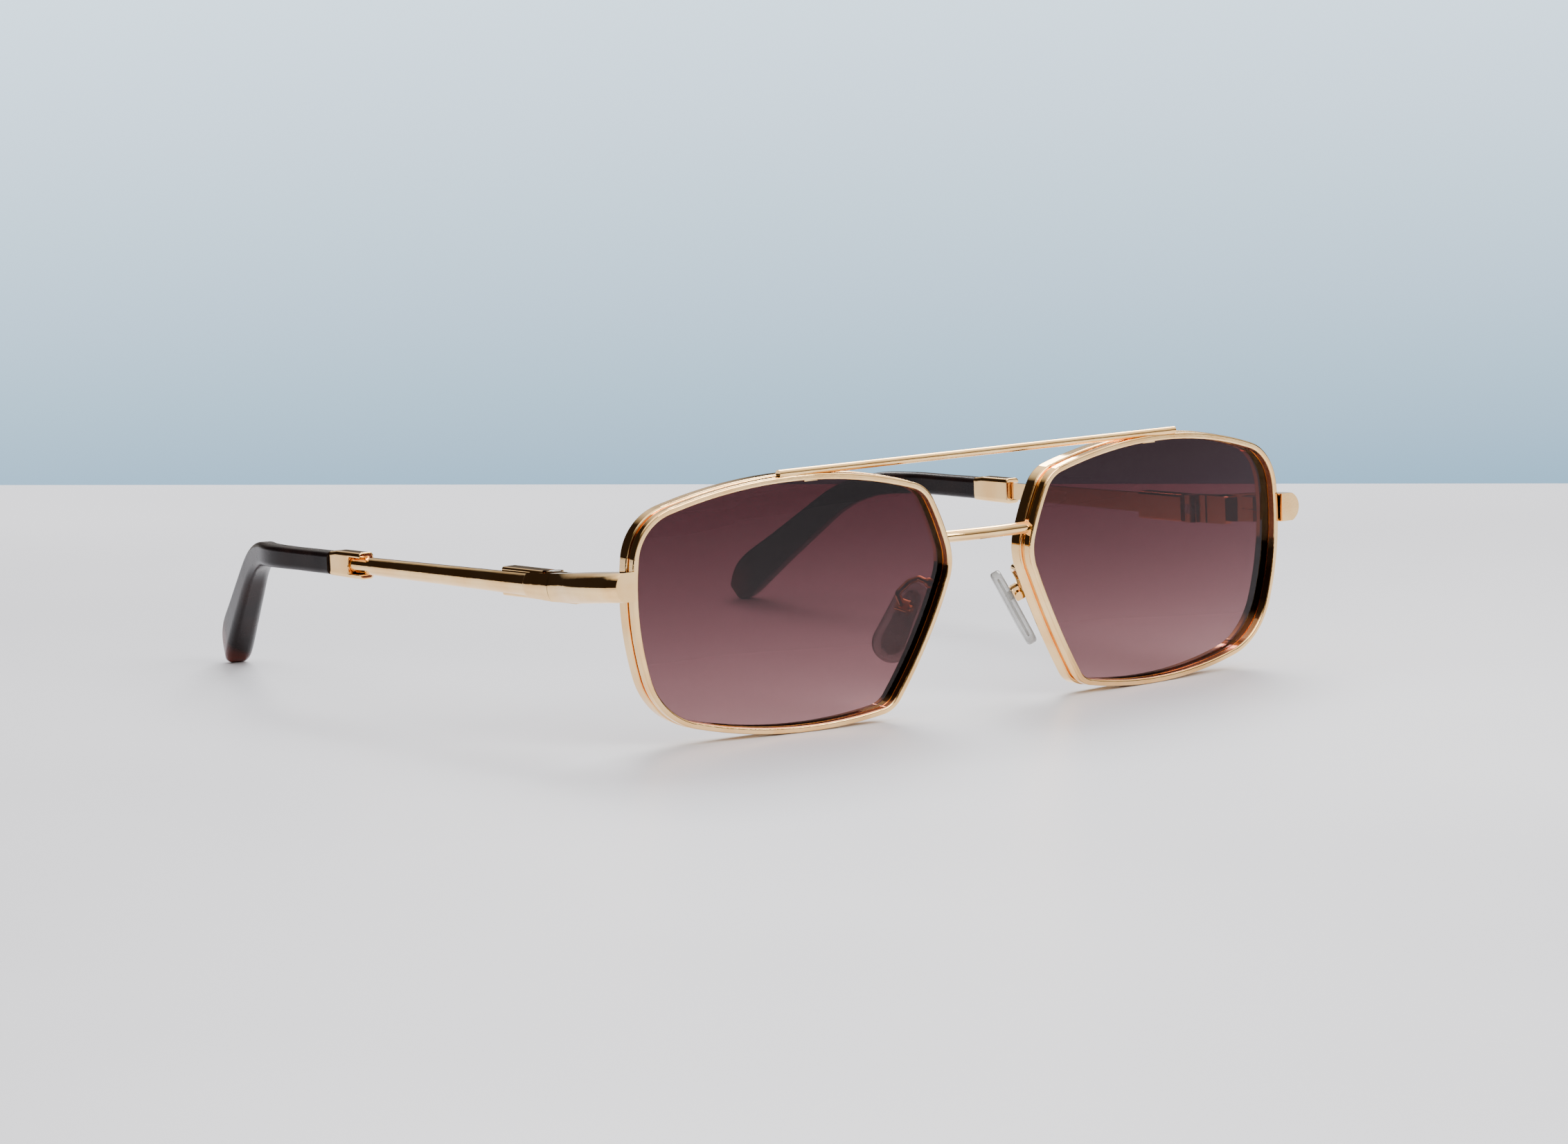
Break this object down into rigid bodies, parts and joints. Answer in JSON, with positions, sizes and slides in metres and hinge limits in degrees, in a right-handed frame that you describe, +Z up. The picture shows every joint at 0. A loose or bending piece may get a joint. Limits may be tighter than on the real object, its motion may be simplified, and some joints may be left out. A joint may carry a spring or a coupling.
{
  "type": "aviator sunglasses",
  "caption": "Aviator sunglasses with double-wire metal rims, brow bar, bridge, tinted lenses, rocking nose pads, sprung folding temples and acetate tips.",
  "frame": {"origin": "centre of the footprint, on the surface that the rims and temple tips rest on", "axes": "+X to the wearer's left, +Y from the front back along the temples, +Z up"},
  "size_m": [0.146, 0.149, 0.0433],
  "materials": {
    "gold": "polished pale gold plating",
    "lens_tint": "burgundy gradient tint, dark at the top",
    "tip_acetate": "polished dark brown acetate",
    "pad_silicone": "clear silicone",
    "pad_core": "clear stiff plastic",
    "screw_steel": "plated steel",
    "spring_steel": "bright spring steel"
  },
  "bodies": {
    "front": {"right_front_rim": "gold", "right_rear_rim": "gold", "right_rim_splice": "gold", "right_lens": "lens_tint", "right_brow_saddle": "gold", "right_hinge_leaf": "gold", "right_hinge_screw": "screw_steel", "right_end_piece": "gold", "right_lock_block_upper": "gold", "right_lock_block_lower": "gold", "right_lock_screw": "screw_steel", "right_pad_arm": "gold", "right_pad_box": "gold", "right_pad_screw": "gold", "left_front_rim": "gold", "left_rear_rim": "gold", "left_rim_splice": "gold", "left_lens": "lens_tint", "left_brow_saddle": "gold", "left_hinge_leaf": "gold", "left_hinge_screw": "screw_steel", "left_end_piece": "gold", "left_lock_block_upper": "gold", "left_lock_block_lower": "gold", "left_lock_screw": "screw_steel", "left_pad_arm": "gold", "left_pad_box": "gold", "left_pad_screw": "gold", "bridge": "gold", "brow_bar": "gold"},
    "right_slider_body": {"right_hinge_slider": "screw_steel", "right_slider_nut": "screw_steel"},
    "right_temple_body": {"right_spring_housing": "gold", "right_housing_plug": "gold", "right_temple_head": "gold", "right_temple_bar": "gold", "right_core_wire": "spring_steel", "right_ferrule": "gold", "right_temple_tip": "tip_acetate", "right_hinge_spring": "spring_steel"},
    "right_pad_body": {"right_nose_pad": "pad_silicone", "right_pad_insert": "pad_core"},
    "left_slider_body": {"left_hinge_slider": "screw_steel", "left_slider_nut": "screw_steel"},
    "left_temple_body": {"left_spring_housing": "gold", "left_housing_plug": "gold", "left_temple_head": "gold", "left_temple_bar": "gold", "left_core_wire": "spring_steel", "left_ferrule": "gold", "left_temple_tip": "tip_acetate", "left_hinge_spring": "spring_steel"},
    "left_pad_body": {"left_nose_pad": "pad_silicone", "left_pad_insert": "pad_core"}
  },
  "joints": [
    {"name": "right_temple_fold", "type": "hinge", "parent": "front", "child": "right_slider_body", "pos_m": [0.0676, -0.04583, 0.02496], "axis": [0, 0.0192, 0.9998], "range_deg": [0, 83]},
    {"name": "right_temple_spring", "type": "slide", "parent": "right_slider_body", "child": "right_temple_body", "axis": [0, 0.9998, -0.0192], "range_m": [0, 0.0012], "stiffness_N_per_m": 2500, "springref_m": -0.0016, "deforming": ["right_hinge_spring"]},
    {"name": "right_pad_rock", "type": "hinge", "parent": "front", "child": "right_pad_body", "pos_m": [0.01203, -0.06581, 0.01758], "axis": [-0.4093, -0.8771, -0.2512], "range_deg": [-10, 10]},
    {"name": "left_temple_fold", "type": "hinge", "parent": "front", "child": "left_slider_body", "pos_m": [-0.0676, -0.04583, 0.02496], "axis": [0, -0.0192, -0.9998], "range_deg": [0, 90]},
    {"name": "left_temple_spring", "type": "slide", "parent": "left_slider_body", "child": "left_temple_body", "axis": [0, 0.9998, -0.0192], "range_m": [0, 0.0012], "stiffness_N_per_m": 2500, "springref_m": -0.0016, "deforming": ["left_hinge_spring"]},
    {"name": "left_pad_rock", "type": "hinge", "parent": "front", "child": "left_pad_body", "pos_m": [-0.01203, -0.06581, 0.01758], "axis": [-0.4093, 0.8771, 0.2512], "range_deg": [-10, 10]}
  ]
}
